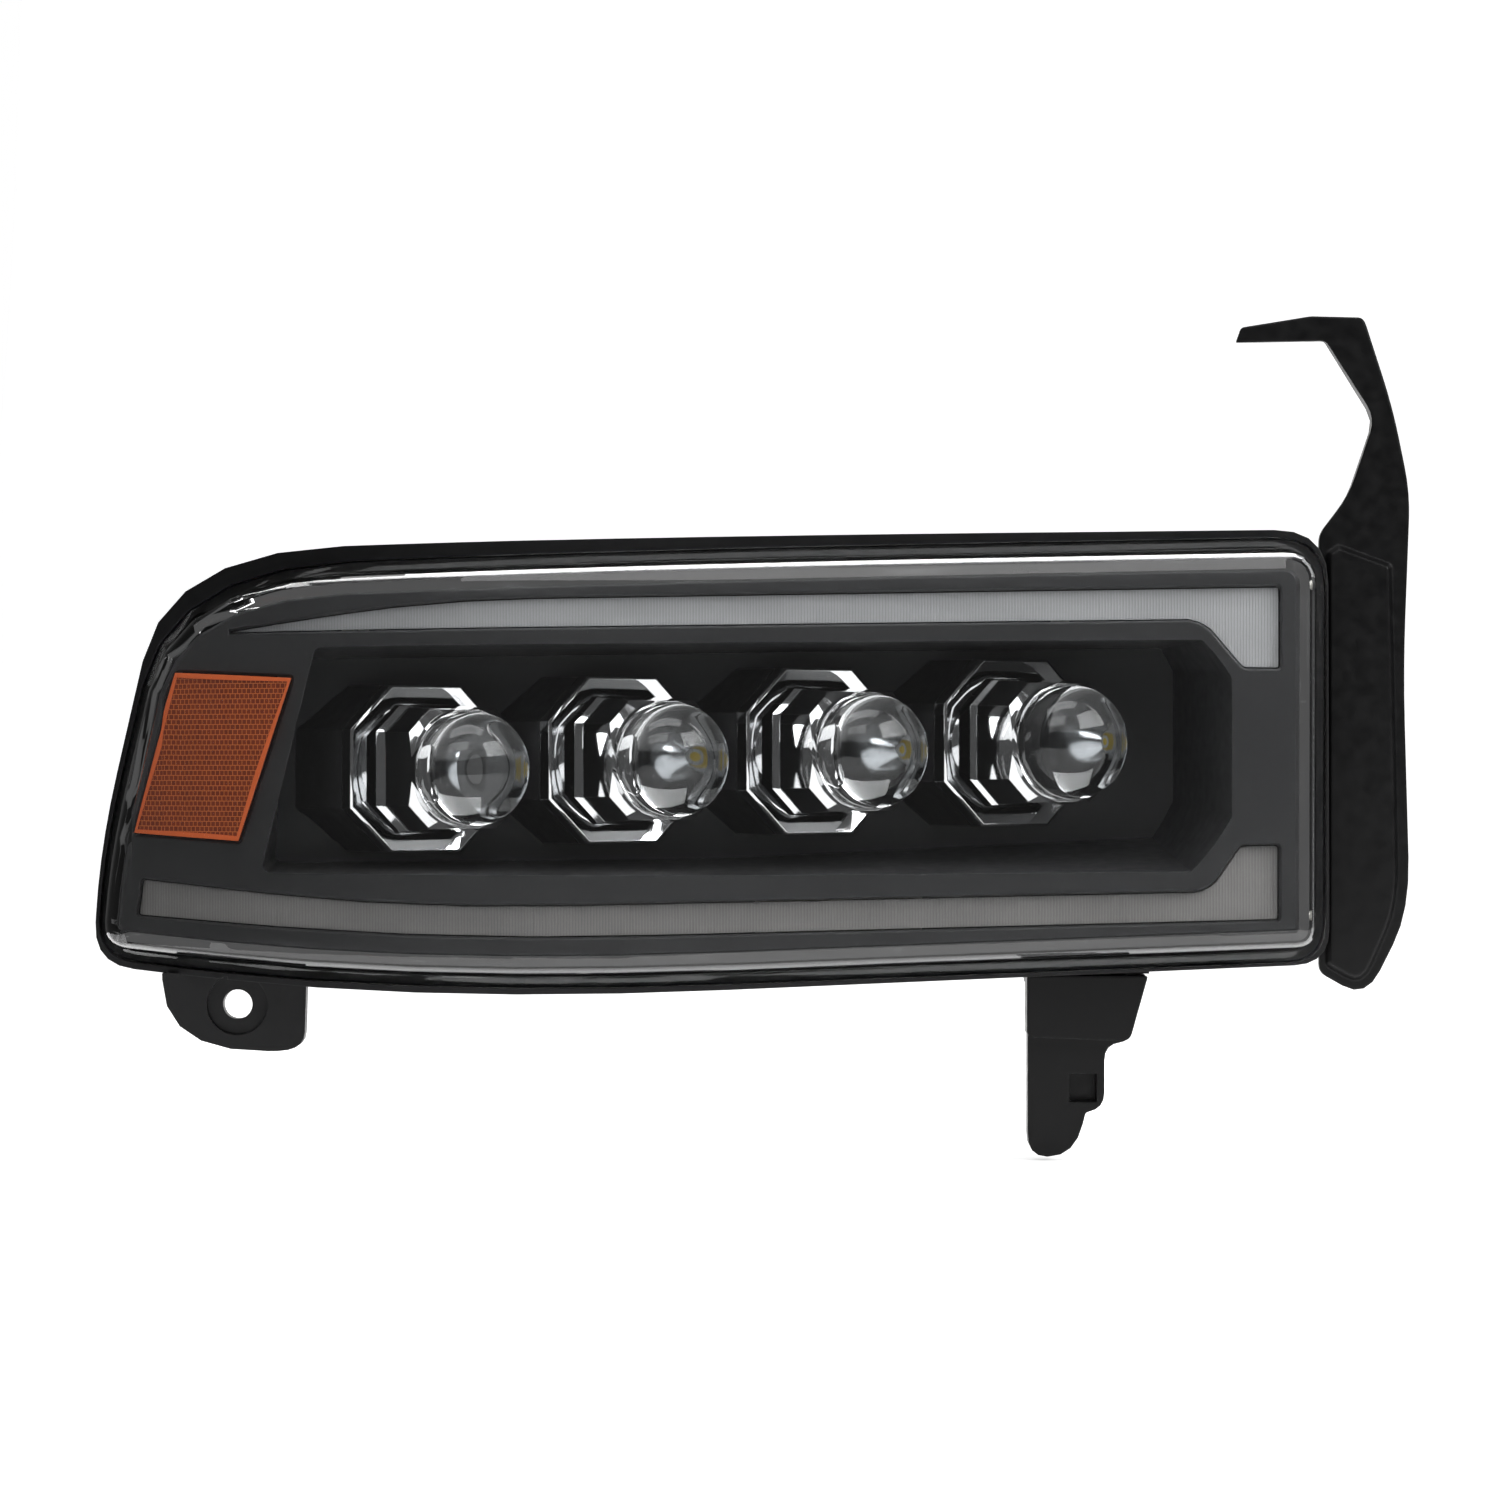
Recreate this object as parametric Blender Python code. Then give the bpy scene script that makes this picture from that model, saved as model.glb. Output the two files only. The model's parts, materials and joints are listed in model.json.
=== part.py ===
"""Four-projector car headlight assembly, outboard end at -X, beam to the front at -Y, +Z up, metres.

The origin is the centre of the flat datum pad on the back of the housing, which rests on the car's panel.
The clear cover faces -Y and sweeps back round the car's corner at its -X end. The projectors look along the
beam, which is turned BEAM_YAW from the cover's own direction. They sit on a carrier that tilts on two ball
studs and is pushed by a ball-ended screw, which a gear nut and a hex-headed pinion move from outside.
"""

import math

import bmesh
import bpy
from mathutils import Matrix, Vector

mm = 0.001

# Driving dimensions
REAR_Y = -25 * mm  # outside of the housing's back wall
WALL = 2.5 * mm
GAP = 0.4 * mm  # between pieces that touch
SWEEP_START = -60 * mm  # the cover is flat to the right of this X and sweeps back to the left of it
SWEEP_RADIUS = 250 * mm
SLICE = 13.2 * mm  # width of the flat strips that follow the sweep
BEAM_YAW = math.radians(30)

PROJECTORS = 4
PROJECTOR_PITCH = 73.5 * mm
FIRST_RING = Vector((-122.5, -98, -7.0)) * mm  # centre of the outboard octagonal ring
ROW_RISE = 3.25 * mm  # each projector sits this much higher than its outboard neighbour
RING_HALF = 31.2 * mm
RING_CHAMFER = 16.6 * mm
LENS_R = 20.9 * mm
RING_CENTRES = [FIRST_RING + Vector((PROJECTOR_PITCH * i, 0, ROW_RISE * i)) for i in range(PROJECTORS)]

FLOOR_Y = -76 * mm  # front of the pocket's floor in the bezel
PIVOT_Y = -60 * mm
PIVOT_Z = 45 * mm
PIVOT_XS = (-150 * mm, 118 * mm)
BALL_R = 4.5 * mm
SOCKET_R = 4.8 * mm
ADJUSTER = Vector((30, -60, -45)) * mm  # centre of the adjuster's ball

GEAR_MODULE = 1.5 * mm
GEAR_TEETH = 24
PINION_TEETH = 12
GEAR_FRONT, GEAR_REAR = -46 * mm, -38 * mm
PINION_X = ADJUSTER.x + GEAR_MODULE * (GEAR_TEETH + PINION_TEETH) / 2

CAP_XS = (-100 * mm, 72 * mm)
NECK_R = 33 * mm
LUG_TURN = 92  # degrees

DRIVER_BOX = ((122, -24.6, -26), (190, -9, 30))  # millimetres
TAB_FRONT, TAB_REAR = -76 * mm, -66 * mm
TAB_HOLE = Vector((-194.5, 0, -96.5)) * mm
LEG_FRONT, LEG_REAR = -106 * mm, -94 * mm
ARM_FRONT, ARM_REAR = -108 * mm, -104.5 * mm
DRIVER_SCREWS = [(118 * mm, 2 * mm), (194 * mm, 2 * mm)]  # X and Z
BRACKET_POSTS = [(8 * mm, -64 * mm), (8 * mm, -28 * mm)]  # X and Z of the adjuster bracket's feet
LEG_SCREW_XS = (111 * mm, 139 * mm)
LEG_SCREW_Y = -87.5 * mm
ARM_SCREW_ZS = (-52 * mm, 52 * mm)
ARM_SCREW_Y = -95 * mm

# Outlines in X and Z, millimetres: corner, length rounded off before it and after it, and roundness,
# from 1 for a curve to 0 for a straight chamfer. All of the cover's family have the same seven corners.
COVER = [(-220, 67.5, 45, 72, 1), (4, 74.5, 90, 90, 1), (212.3, 78.3, 18, 18, 1), (212, -77.5, 13, 13, 1),
         (-108, -90, 100, 90, 1), (-251.5, -79.5, 17, 15, 1), (-248, -38, 24, 30, 1)]
RIM = [(-221.3, 74.5, 42, 70, 1), (4, 79.3, 90, 90, 1), (213.5, 81.5, 20, 20, 1), (214, -79, 13, 13, 1),
       (-108, -93, 100, 90, 1), (-253.5, -82.5, 18, 16, 1), (-250.5, -38, 25, 30, 1)]
POCKET = [(-160, 38, 3, 3, 1), (4, 39.3, 20, 20, 1), (176, 40.3, 11, 14, 0.15), (176, -44.3, 20, 15, 0.15),
          (-20, -46, 20, 20, 1), (-181, -45.5, 4, 4, 1), (-172, -10, 4, 4, 1)]
POCKET_FLOOR = [(-176, 34, 3, 3, 1), (4, 37, 20, 20, 1), (160.5, 38.5, 5, 9, 0.1), (160.5, -33, 14, 8, 0.1),
                (-20, -41.5, 20, 20, 1), (-180, -42.5, 4, 4, 1), (-178, -10, 4, 4, 1)]
UPPER_GUIDE = [(-193, 43.8, 1.5, 1.5, 1), (165.5, 48.0, 5, 5, 0.6), (180.5, 30.4, 1.5, 1.5, 1),
               (193.3, 30.2, 0.8, 0.8, 1), (193.3, 59.4, 0.8, 0.8, 1), (-118, 54.6, 40, 40, 1)]
LOWER_GUIDE = [(-228, -49, 1, 1, 1), (-125, -58.5, 55, 60, 1), (168, -52.2, 5, 5, 0.6),
               (179.5, -35.4, 1.5, 1.5, 1), (192.9, -35.2, 0.8, 0.8, 1), (192.9, -61.8, 0.8, 0.8, 1),
               (-105, -69.4, 70, 70, 1), (-230, -62, 1, 1, 1)]
UPPER_BOARD = [(-178, 46.3, 1, 1, 1), (166, 50.4, 1, 1, 1), (190, 50.6, 1, 1, 1), (190, 57.3, 1, 1, 1),
               (-118, 52.8, 30, 30, 1)]
LOWER_BOARD = [(-223, -53.5, 1, 1, 1), (-125, -61, 30, 30, 1), (170, -55.2, 1, 1, 1), (190, -55, 1, 1, 1),
               (190, -59.6, 1, 1, 1), (-105, -66.5, 30, 30, 1), (-224.5, -60, 1, 1, 1)]
REFLECTOR = [(-214.8, 29, 1, 1, 1), (-169, 26.6, 1, 1, 1), (-189.4, -33.8, 1, 1, 1), (-231.6, -31.2, 1, 1, 1)]
ARM = [(183.5, 157.8, 1, 1, 1), (209.4, 162, 1, 1, 1), (229.2, 161.5, 2, 3, 1), (240, 128, 12, 12, 1),
       (246.5, 96, 10, 10, 1), (244, 30, 20, 20, 1), (246.5, -60, 20, 14, 1), (230, -93, 12, 10, 1),
       (212.5, -83, 3, 3, 1), (212.5, 80.5, 3, 3, 1), (223.5, 95, 7, 7, 1), (233.5, 124, 6, 6, 1),
       (215, 152.8, 2, 2, 1), (181.5, 152.2, 0.8, 0.8, 1)]
ARM_WEB = [(210.7, 161, 1.2, 1.2, 1), (218, 160.6, 1.2, 1.2, 1), (239, 125.5, 5, 5, 1), (228.5, 91.5, 6, 6, 1),
           (221.6, 84.8, 1, 1, 1), (216.8, 84.8, 0.5, 0.5, 1), (224.4, 94.6, 5, 5, 1), (234.5, 124, 5, 5, 1),
           (216, 153.9, 1.2, 1.2, 1), (210.7, 153.9, 1.2, 1.2, 1)]
ARM_FACE = [(219.5, 77.5, 1, 1, 1), (240.3, 69.8, 2, 2, 1), (241.2, 30, 10, 10, 1), (243, -58, 16, 12, 1),
            (229, -89.5, 10, 8, 1), (214.2, -81, 2, 2, 1), (214.2, 74, 3, 2, 1)]
TAB = [(-223, -84.4, 0.8, 0.8, 1), (-199, -85, 1, 1, 1), (-195, -79, 1, 1, 1), (-168, -77, 1, 1, 1),
       (-168.5, -96, 5, 5, 1), (-169, -114, 7, 10, 1), (-222.5, -115, 40, 28, 1)]
LEG_BLOCK = [(103.2, -84.2, 1, 1, 1), (148.3, -84.2, 1, 1, 1), (141.5, -108.5, 3, 3, 1), (103.2, -107, 3, 2, 1)]
LEG = [(103.8, -86, 1, 1, 1), (147, -86, 1, 1, 1), (141.3, -109, 3, 3, 1), (132.5, -110, 6, 6, 1),
       (132.5, -134, 6, 6, 1), (125.5, -135.5, 1, 1, 1), (121.5, -152, 13, 10, 1), (103.8, -152, 7, 9, 1)]


# Shapes


def sweep(x):
    """How far back the cover's family of surfaces lies at this X."""
    past = max(0.0, SWEEP_START - x)
    return SWEEP_RADIUS - math.sqrt(SWEEP_RADIUS**2 - past**2)


def outline(corners, curve_steps=5, edge_steps=3):
    """Points (x, z) in metres along an outline whose corners are rounded by parabolas or cut by chamfers."""
    spots = [Vector(c[:2]) * mm for c in corners]
    points = []
    for i, (_, _, before, after, roundness) in enumerate(corners):
        here, last, following = spots[i], spots[i - 1], spots[(i + 1) % len(spots)]
        start = here + (last - here).normalized() * before * mm
        end = here + (following - here).normalized() * after * mm
        for k in range(curve_steps + 1):
            t = k / curve_steps
            curved = start * (1 - t) ** 2 + here * 2 * t * (1 - t) + end * t**2
            points.append(curved.lerp(start.lerp(end, t), 1 - roundness))
        next_before = corners[(i + 1) % len(spots)][2] * mm
        next_start = following + (here - following).normalized() * next_before
        points += [end.lerp(next_start, k / edge_steps) for k in range(1, edge_steps)]
    return points


def shrunk(corners, distance):
    """The same corners with every side moved inwards by this many millimetres."""
    spots = [Vector(corner[:2]) for corner in corners]
    area = sum(a.cross(b) for a, b in zip(spots, spots[1:] + spots[:1]))
    moved = []
    for i, (_, _, before, after, roundness) in enumerate(corners):
        one = (spots[i] - spots[i - 1]).normalized()
        two = (spots[(i + 1) % len(spots)] - spots[i]).normalized()
        along = (one + two).normalized()
        inward = Vector((-along.y, along.x)) * (1 if area > 0 else -1)
        shorter = distance * math.tan(one.angle(two) / 2) * (1 if one.cross(two) * area > 0 else -1)
        here = spots[i] + inward * distance / along.dot(two)
        moved.append((*here, max(0.8, before - shorter), max(0.8, after - shorter), roundness))
    return moved


def inset(points, distance):
    """The outline moved inwards, each point along its own normal; a negative distance moves it outwards."""
    area = sum(a.cross(b) for a, b in zip(points, points[1:] + points[:1]))
    moved = []
    for i, here in enumerate(points):
        before = (here - points[i - 1]).normalized()
        after = (points[(i + 1) % len(points)] - here).normalized()
        along = (before + after).normalized()
        normal = Vector((-along.y, along.x)) * (1 if area > 0 else -1)
        moved.append(here + normal * distance / max(0.5, along.dot(after)))
    return moved


def scaled(points, factor_x, factor_z, fixed_x):
    """The outline shrunk towards the line X = fixed_x and towards Z = 0."""
    return [Vector((fixed_x + (p.x - fixed_x) * factor_x, p.y * factor_z)) for p in points]


def at(points, y, follow=0.0, swept_as=None):
    """A ring of 3D points at this Y, moved back by a share of the sweep."""
    backs = [follow * sweep(p.x) for p in (swept_as or points)]
    return [Vector((p.x, y + back, p.y)) for p, back in zip(points, backs)]


def facing_out(mesh):
    bmesh.ops.recalc_face_normals(mesh, faces=mesh.faces)
    if mesh.calc_volume(signed=True) < 0:
        bmesh.ops.reverse_faces(mesh, faces=mesh.faces)
    return mesh


def loft(rings, closed=False):
    """A mesh through rings of equally many points: capped at both ends, or closed back onto its first ring."""
    mesh = bmesh.new()
    loops = [[mesh.verts.new(p) for p in ring] for ring in rings]
    count = len(loops[0])
    sides = []
    for one, two in zip(loops, loops[1:] + loops[:1] if closed else loops[1:]):
        for i in range(count):
            j = (i + 1) % count
            sides.append(mesh.faces.new((one[i], one[j], two[j], two[i])))
    bmesh.ops.connect_verts_nonplanar(mesh, angle_limit=0.0005, faces=sides)
    if not closed:
        mesh.faces.new(loops[0])
        mesh.faces.new(loops[-1])
    return facing_out(mesh)


def prism(points, front, rear):
    return loft([at(points, front), at(points, rear)])


def swept(mesh, fade=None):
    """Cuts a flat mesh into strips and moves them back along the cover's sweep.

    With a fade (front, rear), what lies behind the front follows less and less, and nothing behind the rear.
    """
    bmesh.ops.dissolve_limit(mesh, angle_limit=0.002, verts=mesh.verts, edges=mesh.edges)
    bmesh.ops.triangulate(mesh, faces=mesh.faces, ngon_method="EAR_CLIP")
    cut_x = SWEEP_START
    while cut_x > -260 * mm:
        everything = mesh.verts[:] + mesh.edges[:] + mesh.faces[:]
        sliced = bmesh.ops.bisect_plane(
            mesh, geom=everything, dist=1e-6, plane_co=(cut_x, 0, 0), plane_no=(1, 0, 0))
        for item in sliced["geom_cut"]:
            if isinstance(item, bmesh.types.BMEdge):
                item.seam = True
        cut_x -= SLICE
    bmesh.ops.dissolve_limit(
        mesh, angle_limit=0.002, delimit={"SEAM"}, verts=mesh.verts, edges=mesh.edges)
    for vert in mesh.verts:
        share = 1.0
        if fade:
            front, rear = fade
            share = min(1.0, max(0.0, (rear - vert.co.y) / (rear - front)))
        vert.co.y += share * sweep(vert.co.x)
    bmesh.ops.triangulate(mesh, faces=mesh.faces, ngon_method="EAR_CLIP")
    return mesh


def circle(radius, y, steps=24):
    """A ring round the Y axis."""
    turns = [2 * math.pi * (k + 0.5) / steps for k in range(steps)]
    return [Vector((radius * math.cos(t), y, radius * math.sin(t))) for t in turns]


def turned(profile, steps=24, closed=False):
    """A solid of revolution about Y through (radius, y) pairs in millimetres."""
    return loft([circle(r * mm, y * mm, steps) for r, y in profile], closed)


def octagon(half, chamfer, y):
    """A ring of 24 points round the Y axis: a square of this half width with its corners cut off."""
    near = half - chamfer
    corners = [(half, -near), (half, near), (near, half), (-near, half),
               (-half, near), (-half, -near), (-near, -half), (near, -half)]
    ring = []
    for (ax, az), (bx, bz) in zip(corners, corners[1:] + corners[:1]):
        ring += [Vector((ax + (bx - ax) * k / 3, y, az + (bz - az) * k / 3)) for k in range(3)]
    return ring


def round_like(ring, radius, y):
    """A circle whose points lie at the same angles as those of another ring."""
    return [Vector((p.x, 0, p.z)).normalized() * radius + Vector((0, y, 0)) for p in ring]


def box(low, high):
    """A box between two corners in millimetres."""
    mesh = bmesh.new()
    bmesh.ops.create_cube(mesh, size=1)
    low, high = Vector(low) * mm, Vector(high) * mm
    for vert in mesh.verts:
        vert.co = (low + high) / 2 + Vector(v * s for v, s in zip(vert.co, high - low))
    return mesh


def placed(mesh, location, turn=0.0, axis="Z"):
    mesh.transform(Matrix.Translation(location) @ Matrix.Rotation(turn, 4, axis))
    return mesh


def gear_outline(teeth, phase):
    """Involute teeth round the origin, thinned for backlash, with the first tooth at this angle."""
    pressure, backlash = math.radians(25), 0.12 * mm
    pitch_r = GEAR_MODULE * teeth / 2
    base_r = pitch_r * math.cos(pressure)
    tip_r, root_r = pitch_r + 0.9 * GEAR_MODULE, pitch_r - 1.2 * GEAR_MODULE
    half_tooth = math.pi / 2 / teeth - backlash / pitch_r

    def half_angle(r):
        turn = math.acos(min(1.0, base_r / r))
        return half_tooth + (math.tan(pressure) - pressure) - (math.tan(turn) - turn)

    start_r = max(base_r, root_r)
    flank = [start_r + (tip_r - start_r) * k / 2 for k in range(3)]
    side = [(root_r, half_angle(start_r))] + [(r, half_angle(r)) for r in flank if r > root_r]
    points = []
    for tooth in range(teeth):
        middle = phase + 2 * math.pi * tooth / teeth
        for r, half in [(r, -a) for r, a in side] + [(r, a) for r, a in reversed(side)]:
            points.append(Vector((math.cos(middle + half) * r, math.sin(middle + half) * r)))
    return points


# Objects


def material(name, colour, roughness, metallic=0.0, transmission=0.0):
    made = bpy.data.materials.new(name)
    made.use_nodes = True
    made.diffuse_color = (*colour, 1)
    shader = made.node_tree.nodes["Principled BSDF"]
    shader.inputs["Base Color"].default_value = (*colour, 1)
    shader.inputs["Roughness"].default_value = roughness
    shader.inputs["Metallic"].default_value = metallic
    shader.inputs["Transmission Weight"].default_value = transmission
    return made


def empty(name, location, turn=0.0, parent=None):
    made = bpy.data.objects.new(name, None)
    made.location = location
    made.rotation_euler.z = turn
    made.parent = parent
    bpy.context.scene.collection.objects.link(made)
    return made


def piece(name, mesh, finish=None, parent=None, location=(0, 0, 0)):
    """An object made from a bmesh whose points are relative to its location, which is its parent's frame."""
    data = bpy.data.meshes.new(name)
    facing_out(mesh)
    mesh.to_mesh(data)
    mesh.free()
    made = bpy.data.objects.new(name, data)
    if finish:
        data.materials.append(finish)
    made.location = location
    made.parent = parent
    bpy.context.scene.collection.objects.link(made)
    data.shade_smooth()
    data.set_sharp_from_angle(angle=math.radians(35))
    return made


def cut(target, mesh, operation="DIFFERENCE"):
    """Adds a Boolean of this shape, which is in the target's own frame."""
    helper = piece(f"{target.name}_{operation.lower()}_{len(target.modifiers)}", mesh)
    helper.hide_render = True
    helper.display_type = "WIRE"
    helper.parent = target
    change = target.modifiers.new(helper.name, "BOOLEAN")
    change.operation = operation
    change.solver = "EXACT"
    change.object = helper


def join(target, mesh):
    cut(target, mesh, "UNION")


def finish_booleans(target):
    """Replaces the object's mesh by what its Booleans make of it."""
    bpy.context.view_layer.update()
    finished = target.evaluated_get(bpy.context.evaluated_depsgraph_get())
    target.data = bpy.data.meshes.new_from_object(finished)
    for change in list(target.modifiers):
        bpy.data.objects.remove(change.object)
    target.modifiers.clear()


def reshape(target, change):
    """Passes the object's mesh through a function of bmeshes."""
    mesh = bmesh.new()
    mesh.from_mesh(target.data)
    mesh = change(mesh)
    mesh.to_mesh(target.data)
    mesh.free()
    target.data.shade_smooth()
    target.data.set_sharp_from_angle(angle=math.radians(35))


# The body


def cover_family(inset_mm, y_mm):
    return at(outline(shrunk(COVER, inset_mm)), y_mm * mm)


def clear_cover(finish):
    """A tray: its face rolls into flared side walls, which end in the flange that the seal holds."""
    sections = [(12, -165), (8, -164), (6.2, -161), (3.4, -131), (0, -127.5), (0, -124),
                (6, -124), (9, -158), (12.5, -161.8)]
    piece("outer_lens", swept(loft([cover_family(*s) for s in sections])), finish)


def cover_seal(finish):
    """The bead of butyl in the housing's channel."""
    sections = [(0.9, -123.6), (5.2, -123.6), (5.2, -120.9), (0.9, -120.9)]
    piece("lens_seal", swept(loft([cover_family(*s) for s in sections], closed=True)), finish)


def neck_lugs(radius_in, radius_out, front, rear, turn):
    """One bayonet lug, 30 degrees wide, round the Y axis."""
    angles = [turn + math.radians(a) for a in (-15, -7.5, 0, 7.5, 15)]
    arc = [Vector((math.cos(a), math.sin(a))) for a in angles]
    points = [p * radius_out for p in arc] + [p * radius_in for p in reversed(arc)]
    return prism(points, front, rear)


def housing(finish):
    """The black shell: a rim with a channel for the cover, walls that taper back, and a flat back."""
    rim, below_rim = outline(RIM), outline(shrunk(RIM, 3))
    middle = scaled(below_rim, 0.94, 0.94, 208 * mm)
    rear = scaled(below_rim, 0.86, 0.87, 208 * mm)
    rings = [
        at(rear, REAR_Y),
        at(middle, -70 * mm, 0.45, rim),
        at(below_rim, -116.5 * mm, 1),
        at(rim, -118.5 * mm, 1),
        at(rim, -131 * mm, 1),
        at(outline(shrunk(COVER, -0.6)), -131 * mm, 1),
        at(outline(shrunk(COVER, -0.6)), -120.5 * mm, 1),
        at(outline(shrunk(COVER, 7.6)), -120.5 * mm, 1),
        at(outline(shrunk(COVER, 7.6)), -128 * mm, 1),
        at(outline(shrunk(COVER, 10)), -128 * mm, 1),
        at(outline(shrunk(COVER, 10)), -117 * mm, 1),
        at(inset(middle, WALL), -74.5 * mm, 0.45, rim),
        at(inset(rear, WALL), REAR_Y - WALL),
    ]
    shell = piece("housing", loft(rings), finish)

    for x in CAP_XS:
        centre = Vector((x, 0, 0))
        join(shell, placed(turned([(33, -26), (33, -13)], 30), centre))
        for third in range(3):
            turn = math.radians(LUG_TURN + 120 * third)
            lug = neck_lugs(NECK_R - 0.5 * mm, NECK_R + 1.1 * mm, -17 * mm, -15 * mm, turn)
            join(shell, placed(lug, centre))
        cut(shell, placed(turned([(30.5, -40), (30.5, -5)], 30), centre))

    join(shell, turned([(14, -25.5), (12, -2), (11.5, 0)], 32))
    for x in PIVOT_XS:
        join(shell, placed(turned([(7, -36), (8, -26)]), Vector((x, 0, PIVOT_Z))))
        cut(shell, placed(turned([(2.6, -40), (2.6, -28.5)], 16), Vector((x, 0, PIVOT_Z))))
    join(shell, placed(turned([(8, -26), (7, -14.2)]), Vector((PINION_X, 0, ADJUSTER.z))))
    cut(shell, placed(turned([(4.3, -40), (4.3, -10)]), Vector((PINION_X, 0, ADJUSTER.z))))
    for x, z, radius in ((150, -46, 7), (-14, 46, 4.4)):
        cut(shell, placed(turned([(radius, -40), (radius, -10)]), Vector((x, 0, z)) * mm))
    for x, z in DRIVER_SCREWS:
        join(shell, placed(turned([(4, -34), (4.4, -26)], 16), Vector((x, 0, z))))
        cut(shell, placed(turned([(1.9, -33), (1.9, -10)], 16), Vector((x, 0, z))))

    tab = prism(outline(TAB), TAB_FRONT, TAB_REAR)
    join(shell, tab)
    cut(shell, placed(turned([(11.5, -90), (11.5, -73.5)]), TAB_HOLE))
    cut(shell, placed(turned([(5.6, -90), (5.6, -50)]), TAB_HOLE))
    join(shell, box((101, -109, -83.5), (149, -80, -74)))
    for x in LEG_SCREW_XS:
        hole = turned([(1.9, -1), (1.9, 7.5)], 16)
        cut(shell, placed(hole, Vector((x, LEG_SCREW_Y, -84 * mm)), math.radians(90), "X"))
    join(shell, box((209, -108, -66), (212, -84, 66)))
    for z in ARM_SCREW_ZS:
        place = Vector((212 * mm, ARM_SCREW_Y, z))
        join(shell, placed(turned([(4.4, 2.6), (4, 13)], 16), place, math.radians(90), "Z"))
        cut(shell, placed(turned([(1.9, -3), (1.9, 11)], 16), place, math.radians(90), "Z"))
    return shell


def reaching_floor(ring, centre):
    """A projector's ring of points moved along its axis into the middle of the pocket's floor."""
    depth = FLOOR_Y + WALL / 2 - centre.y
    return [Vector((p.x, (depth - p.x * math.sin(BEAM_YAW)) / math.cos(BEAM_YAW), p.z)) for p in ring]


def bezel(finish):
    """The inner trim: a skirt, a front face, and a pocket whose floor carries four octagonal collars."""
    pocket, floor = outline(POCKET), outline(POCKET_FLOOR)
    tray = [(13, -149), (13, -128.8), (10.6, -128.8), (10.6, -149.5), (12.8, -152)]
    trim = piece("bezel", loft([cover_family(*section) for section in tray]), finish)
    join(trim, loft([at(inset(pocket, -2.2 * mm), -150.5 * mm), at(inset(floor, -WALL), FLOOR_Y + WALL)]))
    cut(trim, loft([at(pocket, -155 * mm), at(pocket, -152 * mm), at(floor, FLOOR_Y)]))
    for shape in (UPPER_GUIDE, LOWER_GUIDE, REFLECTOR):
        points = outline(shape, 3, 1)
        widths = [(1.8, -153), (0.5, -150.6), (0.5, -140)]
        cut(trim, loft([at(inset(points, -wide * mm), y * mm) for wide, y in widths]))
    finish_booleans(trim)
    reshape(trim, lambda flat: swept(flat, (-128 * mm, FLOOR_Y)))
    for centre in RING_CENTRES:
        front = octagon(RING_HALF, RING_CHAMFER, 5 * mm)
        collar = loft([front, reaching_floor(front, centre)])
        join(trim, placed(collar, centre, BEAM_YAW))
    for centre in RING_CENTRES:
        half, chamfer = RING_HALF - 1.7 * mm, RING_CHAMFER - 0.8 * mm
        bore = loft([octagon(half, chamfer, y * mm) for y in (-5, 52)])
        cut(trim, placed(bore, centre, BEAM_YAW))


def lights_in_bezel(frosted, board, amber):
    """The two light guides and the reflector stand in the bezel's slots, with their circuit boards behind."""
    for name, shape, strip in (("upper", UPPER_GUIDE, UPPER_BOARD), ("lower", LOWER_GUIDE, LOWER_BOARD)):
        guide = prism(outline(shape, 3, 1), -148.5 * mm, -142.5 * mm)
        piece(f"{name}_light_guide", swept(guide), frosted)
        piece(f"{name}_led_board", swept(prism(outline(strip, 2, 1), -142 * mm, -140.4 * mm)), board)
    points = outline(REFLECTOR, 2, 1)
    piece("side_reflector", swept(prism(points, -154 * mm, -148 * mm)), amber)
    piece("side_marker_board", swept(prism(outline(shrunk(REFLECTOR, 8), 1, 1), -147.5 * mm, -146 * mm)), board)


# Projectors


def ring_mesh():
    """An octagonal plate whose face dips towards an octagonal hole."""
    rear, front = octagon(RING_HALF, RING_CHAMFER, 4.5 * mm), octagon(RING_HALF, RING_CHAMFER, -2.4 * mm)
    lip = octagon(RING_HALF - 0.9 * mm, RING_CHAMFER - 0.4 * mm, -3 * mm)
    hole = [octagon(23.8 * mm, 11.6 * mm, y * mm) for y in (-1.2, 4.5)]
    return loft([rear, front, lip, *hole], closed=True)


def holder_mesh():
    """An octagonal tube whose front end is a round seat for the lens."""
    outer = octagon(23.4 * mm, 9.6 * mm, 0)
    return loft([
        octagon(23.4 * mm, 9.6 * mm, -8 * mm), octagon(22.2 * mm, 8.6 * mm, -33 * mm),
        round_like(outer, 22.4 * mm, -35 * mm), round_like(outer, 22.4 * mm, -38 * mm),
        round_like(outer, LENS_R + 0.4 * mm, -38 * mm), round_like(outer, LENS_R + 0.4 * mm, -33.6 * mm),
        round_like(outer, 18.6 * mm, -33.6 * mm), round_like(outer, 20.8 * mm, -8 * mm)], closed=True)


def lens_mesh():
    """A thick aspheric lens with a flat back and a round band."""
    band, height, rear, front = LENS_R / mm, 14.5, -34.0, -43.0
    dome = [(band * math.sin(math.radians(a)), front - height * math.cos(math.radians(a)) ** 0.9)
            for a in (76, 60, 44, 28, 12)]
    return turned([(band, rear), (band, front)] + dome, 28)


def bowl_mesh():
    """The reflector bowl behind the lens, open to the front and closed by the LED board behind."""
    return turned([(12, 44), (17.4, 38), (17.8, 20), (20.4, 2), (20.4, -7.6), (18.9, -7.6), (18.9, 2),
                   (15.6, 20), (10, 36), (4, 44)], 20, closed=True)


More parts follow.
